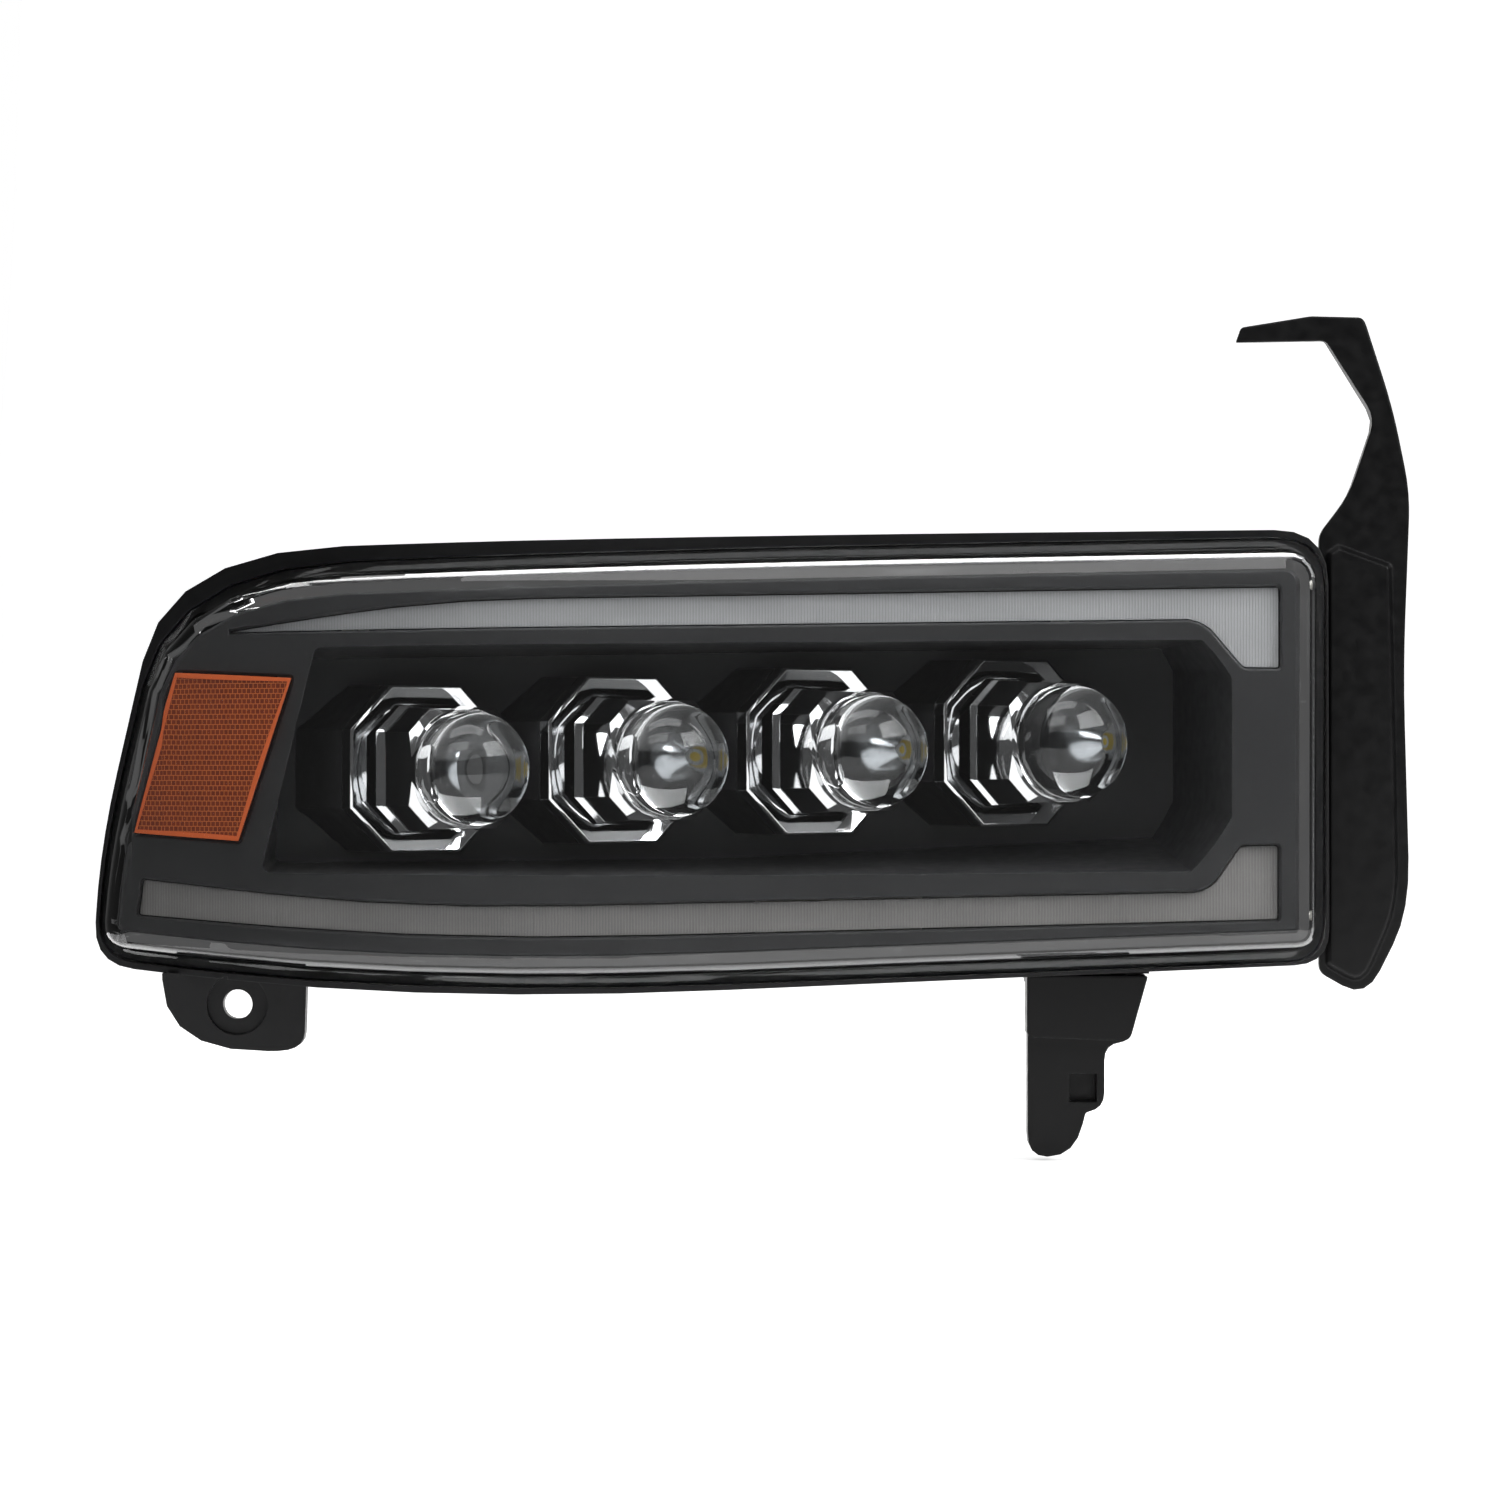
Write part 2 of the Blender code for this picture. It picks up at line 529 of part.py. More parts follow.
def heat_sink_mesh():
    """A square plate with seven upright fins."""
    half, fins, pitch = 15, 7, 4.3
    comb = [(-half, 46.4), (half, 46.4), (half, 49.4)]
    for k in reversed(range(fins)):
        middle = (k - (fins - 1) / 2) * pitch
        comb += [(middle + 1, 49.4), (middle + 1, 64), (middle - 1, 64), (middle - 1, 49.4)]
    comb.append((-half, 49.4))
    return loft([[Vector((x, y, z)) * mm for x, y in comb] for z in (-half, half)])


def projectors(carrier, finishes):
    chrome, glass, bright, aluminium, board = finishes
    for number, centre in enumerate(RING_CENTRES, 1):
        piece(f"trim_ring_{number}", ring_mesh(), chrome, empty(f"ring_seat_{number}", centre, BEAM_YAW))
        axis = empty(f"projector_{number}", centre - carrier.location, BEAM_YAW, carrier)
        piece(f"lens_holder_{number}", holder_mesh(), chrome, axis)
        piece(f"projector_lens_{number}", lens_mesh(), glass, axis)
        piece(f"reflector_bowl_{number}", bowl_mesh(), bright, axis)
        led = loft([octagon(12 * mm, 2 * mm, y * mm) for y in (44.4, 46)])
        piece(f"emitter_board_{number}", led, board, axis)
        piece(f"heat_sink_{number}", heat_sink_mesh(), aluminium, axis)


def carrier_frame(carrier, finish):
    """A plate with a hole for each bowl, and ears for the two pivots and the adjuster."""
    corners = [(-176, -34, 4, 4, 1), (14, -31, 6, 3, 1), (20, -52, 3, 3, 1), (40, -52, 3, 3, 1),
               (46, -30, 3, 6, 1), (114, -26, 4, 4, 1), (114, 12, 4, 6, 1), (126, 38, 3, 3, 1), (126, 54, 3, 3, 1),
               (110, 54, 3, 3, 1), (104, 30, 4, 6, 1), (-134, 24, 6, 4, 1), (-142, 54, 3, 3, 1),
               (-158, 54, 3, 3, 1), (-176, 20, 6, 4, 1)]
    points = [p - Vector((carrier.location.x, carrier.location.z)) for p in outline(corners, 3, 1)]
    frame = piece("carrier_frame", prism(points, -9 * mm, -6 * mm), finish, carrier)
    for centre in RING_CENTRES:
        hole = loft([circle(18.4 * mm, 0), circle(18.4 * mm, 60 * mm)])
        cut(frame, placed(hole, centre - carrier.location, BEAM_YAW))
    for x, z in [(x, PIVOT_Z) for x in PIVOT_XS] + [(ADJUSTER.x, ADJUSTER.z)]:
        hole = turned([(5.4, -20), (5.4, 10)])
        cut(frame, placed(hole, Vector((x, 0, z)) - Vector((carrier.location.x, 0, carrier.location.z))))


def socket_mesh():
    """A cup with a snap mouth to the rear, round a ball at the origin, with a spigot through the carrier."""
    ball = SOCKET_R / mm
    cavity = [(ball * math.sin(math.radians(a)), -ball * math.cos(math.radians(a)))
              for a in (12, 35, 58, 80, 102, 118)]
    outside = [(5, -9.1), (5, -3.7), (8, -3.7), (8, 3.4), (5.6, 3.4)]
    return turned(cavity[::-1][:-1] + [(1.0, cavity[0][1]), (1.0, -9.1)] + outside, 16, closed=True)


def ball_and_rod(rod_r, rear):
    """A ball at the origin on a rod that runs to the rear."""
    ball = BALL_R / mm
    start = math.degrees(math.asin(rod_r / ball))
    around = [(ball * math.sin(math.radians(a)), -ball * math.cos(math.radians(a)))
              for a in [12 + (168 - start) * k / 7 for k in range(8)]]
    return turned(around + [(rod_r, rear)], 16)


def pivots(carrier, steel, nylon):
    for number, x in enumerate(PIVOT_XS, 1):
        place = Vector((x, PIVOT_Y, PIVOT_Z))
        piece(f"pivot_stud_{number}", ball_and_rod(2.3, 31), steel, location=place)
        piece(f"pivot_socket_{number}", socket_mesh(), nylon, carrier, place - carrier.location)


def adjuster(carrier, steel, nylon):
    """The gear nut turns on the back wall and draws the ball-ended screw in or out."""
    piece("adjuster_screw", ball_and_rod(3.0, 25), steel, location=ADJUSTER)
    piece("adjuster_socket", socket_mesh(), nylon, carrier, ADJUSTER - carrier.location)

    seat = Vector((ADJUSTER.x, 0, ADJUSTER.z))
    nut = piece("adjuster_gear", prism(gear_outline(GEAR_TEETH, 0), GEAR_FRONT, GEAR_REAR), nylon, location=seat)
    join(nut, turned([(6.5, -47.8), (6.5, -28)], 24))
    cut(nut, turned([(3.3, -60), (3.3, -10)], 20))

    seat = Vector((PINION_X, 0, ADJUSTER.z))
    facing = math.pi + math.pi / PINION_TEETH
    teeth = prism(gear_outline(PINION_TEETH, facing), GEAR_FRONT - 0.3 * mm, GEAR_REAR + 0.3 * mm)
    pinion = piece("adjuster_pinion", teeth, nylon, location=seat)
    join(pinion, turned([(2, -51), (2, -47), (3.9, -46), (3.9, -14), (7.5, -13.5), (7.5, -12)], 20))
    join(pinion, turned([(5.2, -13), (5.2, -4), (4.6, -3.5)], 6))

    plate = piece("adjuster_bracket", box((2, -51, -70), (66, -48.4, -22)), nylon)
    for x, radius in ((ADJUSTER.x, 3.5), (PINION_X, 2.4)):
        cut(plate, placed(turned([(radius, -60), (radius, -40)], 20), Vector((x, 0, ADJUSTER.z))))
    for x, z in BRACKET_POSTS:
        join(plate, placed(turned([(4, -49), (4, -28)], 16), Vector((x, 0, z))))


# Outside pieces


def rear_cap(name, x, rubber, plastic):
    """A bayonet cap with a grip bar, and the ring that seals it to its neck."""
    seat = Vector((x, 0, 0))
    cap = piece(f"{name}_cap", turned([(37, -22), (37.4, -7.5), (36, -6)], 30), plastic, location=seat)
    cut(cap, turned([(34.9, -30), (34.9, -8.6)], 30))
    for third in range(3):
        turn = math.radians(LUG_TURN + 120 * third)
        join(cap, neck_lugs(33.5 * mm, 35.6 * mm, -20.4 * mm, -17.8 * mm, turn))
    join(cap, box((-27, -6.5, -3), (27, -0.8, 3)))
    for k in range(12):
        turn = math.radians(15 + 30 * k)
        rib = box((36.4, -20, -1.5), (38.8, -9, 1.5))
        join(cap, placed(rib, Vector((0, 0, 0)), turn, "Y"))
    ring = turned([(31.4, -12.6), (33.4, -12.6), (33.4, -9), (31.4, -9)], 30, closed=True)
    piece(f"{name}_cap_seal", ring, rubber, location=seat)


def screw(name, place, turn, axis, finish, length=9.0):
    """A pan-head screw along +Y before it is turned, its head's underside at the origin."""
    shape = turned([(1.7, length), (1.7, 0.2), (3.6, 0.2), (3.6, -1.4), (2.6, -2.4)], 16)
    made = piece(name, shape, finish, location=place)
    setattr(made.rotation_euler, axis.lower(), turn)


def inboard_bracket(finish):
    """A pressed panel beside the cover that runs up to an arm, with a web along the arm's inner edge."""
    arm = piece("inboard_bracket", prism(outline(ARM, 4, 1), ARM_FRONT, ARM_REAR), finish)
    join(arm, prism(outline(ARM_WEB, 2, 1), ARM_FRONT + 0.6 * mm, ARM_REAR + 14 * mm))
    face = [at(outline(shrunk(ARM_FACE, 2.4), 4, 1), ARM_FRONT - 3 * mm), at(outline(ARM_FACE, 4, 1), ARM_FRONT + mm)]
    join(arm, loft(face))
    join(arm, box((212.4, -107, -60), (215.6, -86, 60)))
    for z in ARM_SCREW_ZS:
        hole = turned([(2.1, -12), (2.1, 12)], 16)
        cut(arm, placed(hole, Vector((214 * mm, ARM_SCREW_Y, z)), math.radians(90), "Z"))


def lower_bracket(finish):
    """The leg below the housing: a foot that is screwed under it, a block, and a lug with a clip socket."""
    leg = piece("lower_bracket", prism(outline(LEG, 4, 1), LEG_FRONT, LEG_REAR), finish)
    join(leg, box((103.5, -108, -87.3), (147.5, -81, -83.9)))
    join(leg, prism(outline(LEG_BLOCK, 4, 1), LEG_FRONT - 7 * mm, LEG_REAR - 3 * mm))
    cut(leg, box((119.4, -120, -131.5), (129.6, -98, -121)))
    for x in LEG_SCREW_XS:
        hole = turned([(2.1, -12), (2.1, 12)], 16)
        cut(leg, placed(hole, Vector((x, LEG_SCREW_Y, -86 * mm)), math.radians(90), "X"))


def driver_module(finish):
    """The LED driver's cast box on the back wall, with cooling fins and two ears."""
    low, high = DRIVER_BOX
    case = piece("driver_module", box(low, high), finish)
    for k in range(8):
        z = low[2] + 5 + k * 6.6
        join(case, box((low[0] + 4, -9.5, z), (high[0] - 4, -3.5, z + 2)))
    for x, z in DRIVER_SCREWS:
        join(case, box((x / mm - 5, -24.6, z / mm - 5), (x / mm + 5, -20.5, z / mm + 5)))
        cut(case, placed(turned([(2.1, -30), (2.1, -10)], 16), Vector((x, 0, z))))


def main():
    for old in list(bpy.data.objects):
        bpy.data.objects.remove(old)

    black = material("black_plastic", (0.012, 0.012, 0.013), 0.5)
    gloss = material("gloss_black_plastic", (0.010, 0.010, 0.011), 0.18)
    clear = material("clear_polycarbonate", (0.95, 0.97, 0.97), 0.03, transmission=1.0)
    frosted = material("frosted_acrylic", (0.62, 0.63, 0.62), 0.45)
    amber = material("amber_plastic", (0.55, 0.12, 0.03), 0.15)
    chrome = material("chrome_plating", (0.85, 0.86, 0.87), 0.06, metallic=1.0)
    glass = material("lens_glass", (0.97, 0.98, 0.98), 0.0, transmission=1.0)
    aluminium = material("cast_aluminium", (0.60, 0.61, 0.62), 0.45, metallic=1.0)
    steel = material("zinc_steel", (0.62, 0.62, 0.60), 0.35, metallic=1.0)
    rubber = material("black_rubber", (0.02, 0.02, 0.02), 0.8)
    board = material("circuit_board", (0.75, 0.77, 0.75), 0.5)
    nylon = material("natural_nylon", (0.72, 0.70, 0.64), 0.45)

    housing(black)
    clear_cover(clear)
    cover_seal(rubber)
    bezel(gloss)
    lights_in_bezel(frosted, board, amber)

    carrier = empty("carrier_pivot", Vector((0, PIVOT_Y, PIVOT_Z)))
    carrier_frame(carrier, black)
    projectors(carrier, (chrome, glass, chrome, aluminium, board))
    pivots(carrier, steel, nylon)
    adjuster(carrier, steel, nylon)

    rear_cap("outboard", CAP_XS[0], rubber, black)
    rear_cap("inboard", CAP_XS[1], rubber, black)
    inboard_bracket(black)
    lower_bracket(black)
    driver_module(aluminium)
    piece("harness_grommet", placed(turned([(2.2, -31), (6.4, -31), (8.6, -29), (8.6, -27.8), (6.6, -27.8),
          (6.6, -24.7), (9.5, -24.7), (9.5, -22), (6, -14), (2.2, -14)], 20, closed=True),
          Vector((150, 0, -46)) * mm), rubber)
    piece("vent_cap", placed(turned([(4, -28), (4, -24.7), (7.5, -24.7), (7.5, -18), (6.5, -17)], 20),
          Vector((-14, 0, 46)) * mm), rubber)

    right_angle = math.radians(90)
    for number, (x, z) in enumerate(DRIVER_SCREWS, 1):
        screw(f"driver_screw_{number}", Vector((x, -20 * mm, z)), math.pi, "Z", steel)
    for number, x in enumerate(LEG_SCREW_XS, 1):
        screw(f"lower_bracket_screw_{number}", Vector((x, LEG_SCREW_Y, -87.8 * mm)), right_angle, "X", steel)
    for number, z in enumerate(ARM_SCREW_ZS, 1):
        screw(f"bracket_screw_{number}", Vector((216.1 * mm, ARM_SCREW_Y, z)), right_angle, "Z", steel)


main()
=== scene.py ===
"""The looks of the headlight: procedural materials, finer lenses and small fittings, in a pale studio."""

import json
import math

import bmesh
import bpy
from mathutils import Matrix, Vector

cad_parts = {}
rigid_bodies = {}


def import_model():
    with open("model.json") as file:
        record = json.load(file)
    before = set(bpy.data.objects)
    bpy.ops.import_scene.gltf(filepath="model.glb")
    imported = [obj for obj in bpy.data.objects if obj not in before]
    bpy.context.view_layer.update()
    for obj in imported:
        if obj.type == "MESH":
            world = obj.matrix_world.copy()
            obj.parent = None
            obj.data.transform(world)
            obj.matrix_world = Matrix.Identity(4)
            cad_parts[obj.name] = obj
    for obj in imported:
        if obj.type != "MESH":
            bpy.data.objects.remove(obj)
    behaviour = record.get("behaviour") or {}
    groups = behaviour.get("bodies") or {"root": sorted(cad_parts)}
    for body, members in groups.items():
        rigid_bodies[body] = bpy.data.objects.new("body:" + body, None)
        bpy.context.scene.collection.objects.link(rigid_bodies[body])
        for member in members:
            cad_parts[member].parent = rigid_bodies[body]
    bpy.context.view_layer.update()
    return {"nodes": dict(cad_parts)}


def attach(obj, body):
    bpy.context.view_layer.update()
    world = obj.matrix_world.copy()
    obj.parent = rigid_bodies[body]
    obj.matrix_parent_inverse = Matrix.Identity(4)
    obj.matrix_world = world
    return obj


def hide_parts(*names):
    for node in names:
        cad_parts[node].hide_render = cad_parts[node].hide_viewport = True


mm = 0.001
for old in list(bpy.data.objects):
    bpy.data.objects.remove(old)
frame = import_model()

# Sizes and places of the CAD that the finer pieces follow; profiles are (radius, y) in millimetres

PROJECTORS = 4
BEAM_YAW = math.radians(30)
RING_PITCH = Vector((73.5, 0, 3.25)) * mm
FIRST_RING = Vector((-122.5, -98, -7)) * mm
SWEEP_START, SWEEP_RADIUS = -60 * mm, 250 * mm

LENS_RADIUS, LENS_REAR, LENS_FRONT, LENS_HEIGHT = 20.9, -34.0, -43.0, 14.5
LENS_STEPS = 24
BOWL = [(20.4, -7.6), (20.4, 2), (17.8, 20), (17.4, 38), (12, 44), (4, 44), (10, 36), (13.6, 28),
        (15.6, 20), (17.6, 11), (18.9, 2), (18.9, -7.6), (20.4, -7.6)]
CHIP = [(0, 44.2), (2.2, 44.2), (2.4, 44.3), (2.4, 44.38), (0, 44.38)]
PIN = [(0, 0), (1.5, 0), (1.5, -2.2), (1.9, -2.6), (1.9, -3.4), (1.2, -4), (0, -4.1)]
PIN_X, PIN_Y, PIN_HEIGHTS = 203.0, -148, (60.1, -60.4)

REFLECTOR = [(-214.8, 29), (-169, 26.6), (-189.4, -33.8), (-231.6, -31.2)]
RIM_FRONT, RIM_REAR, RIM_WIDTH, RIM_STEP = -154.5, -153.6, 1.95, 0.4
RIM_POINTS = 12

CREASE, LENS_CREASE, BOWL_CREASE = 35, 50, 40  # degrees


def sweep(x):
    """How far back the cover has swept at this x."""
    past = max(0.0, SWEEP_START - x)
    return SWEEP_RADIUS - math.sqrt(SWEEP_RADIUS**2 - past**2)


# Materials


class Look:
    """A Principled material and short ways to add nodes to it."""

    def __init__(self, name, colour, rough, metal=0.0, **sockets):
        self.mat = bpy.data.materials.new(name)
        self.mat.use_nodes = True
        self.mat.diffuse_color = (*colour, 1)
        self.tree = self.mat.node_tree
        self.shader = self.tree.nodes["Principled BSDF"]
        self.set("Base Color", (*colour, 1))
        self.set("Roughness", rough)
        self.set("Metallic", metal)
        for key, value in sockets.items():
            self.set(key.replace("_", " "), value)

    def set(self, socket, value):
        self.shader.inputs[socket].default_value = value

    def node(self, kind, **values):
        """A new node; a value that isn't one of its properties is for the socket of that name."""
        made = self.tree.nodes.new("ShaderNode" + kind)
        for key, value in values.items():
            if hasattr(made, key):
                setattr(made, key, value)
            else:
                made.inputs[key.replace("_", " ")].default_value = value
        return made

    def link(self, source, target, output=0):
        self.tree.links.new(source.outputs[output], target)

    def place(self, scale=(1, 1, 1)):
        """Object coordinates, which are the row frame's metres."""
        where = self.node("TexCoord")
        scaled = self.node("Mapping")
        scaled.inputs["Scale"].default_value = scale
        self.link(where, scaled.inputs["Vector"], "Object")
        return scaled

    def noise(self, scale, detail=3.0, stretch=(1, 1, 1)):
        cloud = self.node("TexNoise", Scale=scale, Detail=detail)
        self.link(self.place(stretch), cloud.inputs["Vector"])
        return cloud

    def spread(self, source, low, high):
        """Maps a texture's 0.3 to 0.7 to a range."""
        ramp = self.node("MapRange")
        for key, value in (("From Min", 0.3), ("From Max", 0.7), ("To Min", low), ("To Max", high)):
            ramp.inputs[key].default_value = value
        self.link(source, ramp.inputs["Value"])
        return ramp

    def vary_rough(self, scale, low, high):
        self.link(self.spread(self.noise(scale), low, high), self.shader.inputs["Roughness"])

    def two_tone(self, mask, dark, light):
        ramp = self.node("ValToRGB")
        ramp.color_ramp.elements[0].color = (*dark, 1)
        ramp.color_ramp.elements[1].color = (*light, 1)
        self.link(mask, ramp.inputs["Fac"])
        self.link(ramp, self.shader.inputs["Base Color"])

    def bump(self, source, distance, strength, edge=0.0):
        """Bump from a texture, over normals that are rounded along edges by this radius."""
        bumpy = self.node("Bump", Strength=strength, Distance=distance)
        self.link(source, bumpy.inputs["Height"])
        if edge:
            soft = self.node("Bevel", samples=4)
            soft.inputs["Radius"].default_value = edge
            self.link(soft, bumpy.inputs["Normal"])
        self.link(bumpy, self.shader.inputs["Normal"])

    def let_light_through(self):
        """Shadow rays pass, so that lamps reach what lies behind."""
        path, passing, mix = self.node("LightPath"), self.node("BsdfTransparent"), self.node("MixShader")
        self.link(path, mix.inputs[0], "Is Shadow Ray")
        self.link(self.shader, mix.inputs[1])
        self.link(passing, mix.inputs[2])
        self.link(mix, self.tree.nodes["Material Output"].inputs["Surface"])


def satin_plastic(name, colour, low, high, grain=1400, depth=0.00004, edge=0.0006, shine=0.4):
    """Moulded plastic with a fine grain, faint cloudiness and a roughness from low to high."""
    look = Look(name, colour, (low + high) / 2, Specular_IOR_Level=shine)
    look.vary_rough(220, low, high)
    look.two_tone(look.noise(35, 4), [c * 0.8 for c in colour], [c * 1.25 for c in colour])
    look.bump(look.noise(grain, 2), depth, 0.5, edge)
    return look


def clear_polycarbonate():
    look = Look("clear_cover", (0.90, 0.905, 0.91), 0.012, Transmission_Weight=1.0, IOR=1.49,
                Specular_IOR_Level=0.4)
    look.bump(look.noise(6, 1), 0.0004, 0.12)
    look.let_light_through()
    return look


def projector_glass():
    look = Look("projector_glass", (0.98, 0.99, 0.99), 0.0, Transmission_Weight=1.0, IOR=1.50)
    look.vary_rough(60, 0.0, 0.012)
    look.let_light_through()
    return look


def bright_chrome():
    look = Look("chrome_look", (0.90, 0.905, 0.91), 0.05, 1.0)
    look.vary_rough(90, 0.025, 0.07)
    look.bump(look.noise(45, 2), 0.00005, 0.25, 0.0006)
    return look


def dull_chrome():
    look = Look("bowl_chrome", (0.80, 0.81, 0.82), 0.12, 1.0)
    look.vary_rough(120, 0.08, 0.16)
    return look


def zinc_steel():
    look = Look("zinc_look", (0.62, 0.61, 0.57), 0.35, 1.0)
    look.vary_rough(400, 0.25, 0.45)
    look.two_tone(look.noise(160, 4), (0.50, 0.49, 0.44), (0.70, 0.69, 0.66))
    look.bump(look.noise(900, 2), 0.00002, 0.5, 0.0002)
    return look


def cast_aluminium():
    look = Look("cast_look", (0.50, 0.51, 0.52), 0.5, 1.0)
    look.vary_rough(300, 0.42, 0.62)
    look.two_tone(look.noise(70, 5), (0.42, 0.43, 0.44), (0.56, 0.57, 0.58))
    look.bump(look.noise(1100, 4), 0.00012, 0.6, 0.0003)
    return look


def circuit_board():
    """Pale board with a faint grid of traces."""
    look = Look("board_look", (0.70, 0.72, 0.70), 0.5)
    traces = look.node("TexBrick", offset=0.5, Scale=90.0)
    look.link(look.place((1, 3, 1)), traces.inputs["Vector"])
    for socket, tone in (("Color1", 0.62), ("Color2", 0.68), ("Mortar", 0.45)):
        traces.inputs[socket].default_value = (tone, tone * 1.02, tone, 1)
    look.link(traces, look.shader.inputs["Base Color"])
    look.vary_rough(200, 0.4, 0.6)
    return look


def yellow_phosphor():
    look = Look("phosphor_look", (0.85, 0.62, 0.10), 0.4)
    look.two_tone(look.noise(900, 2), (0.70, 0.46, 0.05), (0.95, 0.75, 0.20))
    return look


def ribbed(name, dark, light, pitch=1.1 * mm):
    """Frosted acrylic with fine upright ribs and faint cloudiness."""
    look = Look(name, light, 0.35, Subsurface_Weight=0.15, Specular_IOR_Level=0.5)
    look.set("Subsurface Radius", (0.002, 0.002, 0.002))
    ribs = look.node("TexWave", wave_type="BANDS", bands_direction="X", Scale=1.0, Distortion=0.0)
    look.link(look.place((math.pi * 0.1 / pitch,) * 3), ribs.inputs["Vector"])
    cloud = look.noise(28, 3, (1, 1, 3))
    both = look.node("Mix", data_type="FLOAT", Factor=0.55)
    look.link(ribs, both.inputs["A"], "Fac")
    look.link(cloud, both.inputs["B"])
    look.two_tone(both, dark, light)
    look.vary_rough(150, 0.28, 0.42)
    look.bump(ribs, 0.0002, 0.35)
    return look


def amber_cells():
    """Amber plastic in rows of small dark cells with lighter walls."""
    look = Look("amber_look", (0.42, 0.075, 0.018), 0.12, Specular_IOR_Level=0.6, Coat_Weight=0.5,
                Coat_Roughness=0.04)
    cells = look.node("TexBrick", offset=0.5, Scale=1.0, Mortar_Size=0.16 * mm, Mortar_Smooth=0.3,
                      Brick_Width=1.75 * mm, Row_Height=1.9 * mm)
    cells.inputs["Color1"].default_value = (0.13, 0.022, 0.006, 1)
    cells.inputs["Color2"].default_value = (0.17, 0.030, 0.008, 1)
    cells.inputs["Mortar"].default_value = (0.48, 0.118, 0.026, 1)
    upright = look.place()
    upright.inputs["Rotation"].default_value = (math.radians(90), 0, 0)
    look.link(upright, cells.inputs["Vector"])
    look.link(cells, look.shader.inputs["Base Color"])
    look.vary_rough(150, 0.08, 0.18)
    look.bump(cells, 0.0004, 0.5)
    return look


def amber_edge():
    look = Look("amber_rim_look", (0.60, 0.115, 0.03), 0.15, Coat_Weight=0.4, Coat_Roughness=0.05)
    look.vary_rough(200, 0.10, 0.22)
    look.bump(look.noise(300, 2), 0.00005, 0.4, 0.0003)
    return look


housing_black = satin_plastic("housing_black", (0.005, 0.005, 0.0055), 0.34, 0.50, shine=0.28)
bracket_black = satin_plastic("bracket_black", (0.0016, 0.0016, 0.0018), 0.30, 0.42, grain=1800,
                              depth=0.00002, edge=0.0012, shine=0.24)
cap_black = satin_plastic("cap_black", (0.016, 0.016, 0.017), 0.40, 0.55)
bezel_black = satin_plastic("bezel_black", (0.019, 0.0193, 0.020), 0.30, 0.38, grain=1500, depth=0.000003)
carrier_black = satin_plastic("carrier_black", (0.02, 0.02, 0.02), 0.5, 0.6)
nylon = satin_plastic("natural_nylon_look", (0.62, 0.59, 0.52), 0.42, 0.55, grain=900, depth=0.00003)
rubber = satin_plastic("rubber_look", (0.018, 0.018, 0.018), 0.65, 0.85, grain=1600, depth=0.00006)
butyl = satin_plastic("seal_look", (0.010, 0.010, 0.010), 0.5, 0.7, grain=300, depth=0.00003)
clear = clear_polycarbonate()
glass = projector_glass()
chrome = bright_chrome()
bowl_chrome = dull_chrome()
zinc = zinc_steel()
cast = cast_aluminium()
board = circuit_board()
phosphor = yellow_phosphor()
upper_bar = ribbed("upper_bar_look", (0.22, 0.224, 0.228), (0.36, 0.364, 0.37))
lower_bar = ribbed("lower_bar_look", (0.12, 0.117, 0.113), (0.22, 0.214, 0.207))
amber = amber_cells()
amber_rim = amber_edge()

# A node's name without its number, and its look
LOOKS = {
    "housing": housing_black, "outer_lens": clear, "lens_seal": butyl, "bezel": bezel_black,
    "trim_ring": chrome, "lens_holder": chrome, "reflector_bowl": bowl_chrome, "emitter_board": board,
    "heat_sink": cast, "upper_light_guide": upper_bar, "lower_light_guide": lower_bar,
    "upper_led_board": board, "lower_led_board": board, "side_marker_board": board, "side_reflector": amber,
    "carrier_frame": carrier_black, "pivot_stud": zinc, "pivot_socket": nylon, "adjuster_screw": zinc,
    "adjuster_socket": nylon, "adjuster_gear": nylon, "adjuster_pinion": nylon, "adjuster_bracket": nylon,
    "outboard_cap": cap_black, "inboard_cap": cap_black, "outboard_cap_seal": rubber,
    "inboard_cap_seal": rubber, "inboard_bracket": bracket_black, "lower_bracket": bracket_black,
    "driver_module": cast, "harness_grommet": rubber, "vent_cap": rubber, "driver_screw": zinc,
    "lower_bracket_screw": zinc, "bracket_screw": zinc, "projector_lens": glass,
}


def smooth(node):
    """Joins the triangles' corners and shades curved places smoothly, with flat faces kept flat."""
    node.data.shade_smooth()
    weld = node.modifiers.new("weld", "WELD")
    weld.merge_threshold = 0.01 * mm
    split = node.modifiers.new("creases", "EDGE_SPLIT")
    split.split_angle = math.radians(CREASE)
    weights = node.modifiers.new("flat_faces_stay_flat", "WEIGHTED_NORMAL")
    weights.weight = 100


for name, node in frame["nodes"].items():
    look = LOOKS[name.rstrip("0123456789").rstrip("_")]
    node.data.materials.clear()
    node.data.materials.append(look.mat)
    smooth(node)


# Finer and smaller pieces


def revolve(profile, steps):
    """A closed mesh from a profile turned about Y; a radius of 0 closes an end."""
    mesh = bmesh.new()
    rings = []
    for radius, y in profile:
        if radius == 0:
            rings.append([mesh.verts.new((0, y * mm, 0))])
            continue
        turns = [2 * math.pi * k / steps for k in range(steps)]
        rings.append([mesh.verts.new((radius * mm * math.cos(t), y * mm, radius * mm * math.sin(t)))
                      for t in turns])
    for one, two in zip(rings, rings[1:]):
        for k in range(steps):
            j = (k + 1) % steps
            corners = [one[k % len(one)], one[j % len(one)], two[j % len(two)], two[k % len(two)]]
            mesh.faces.new(list(dict.fromkeys(corners)))
    bmesh.ops.recalc_face_normals(mesh, faces=mesh.faces)
    return mesh


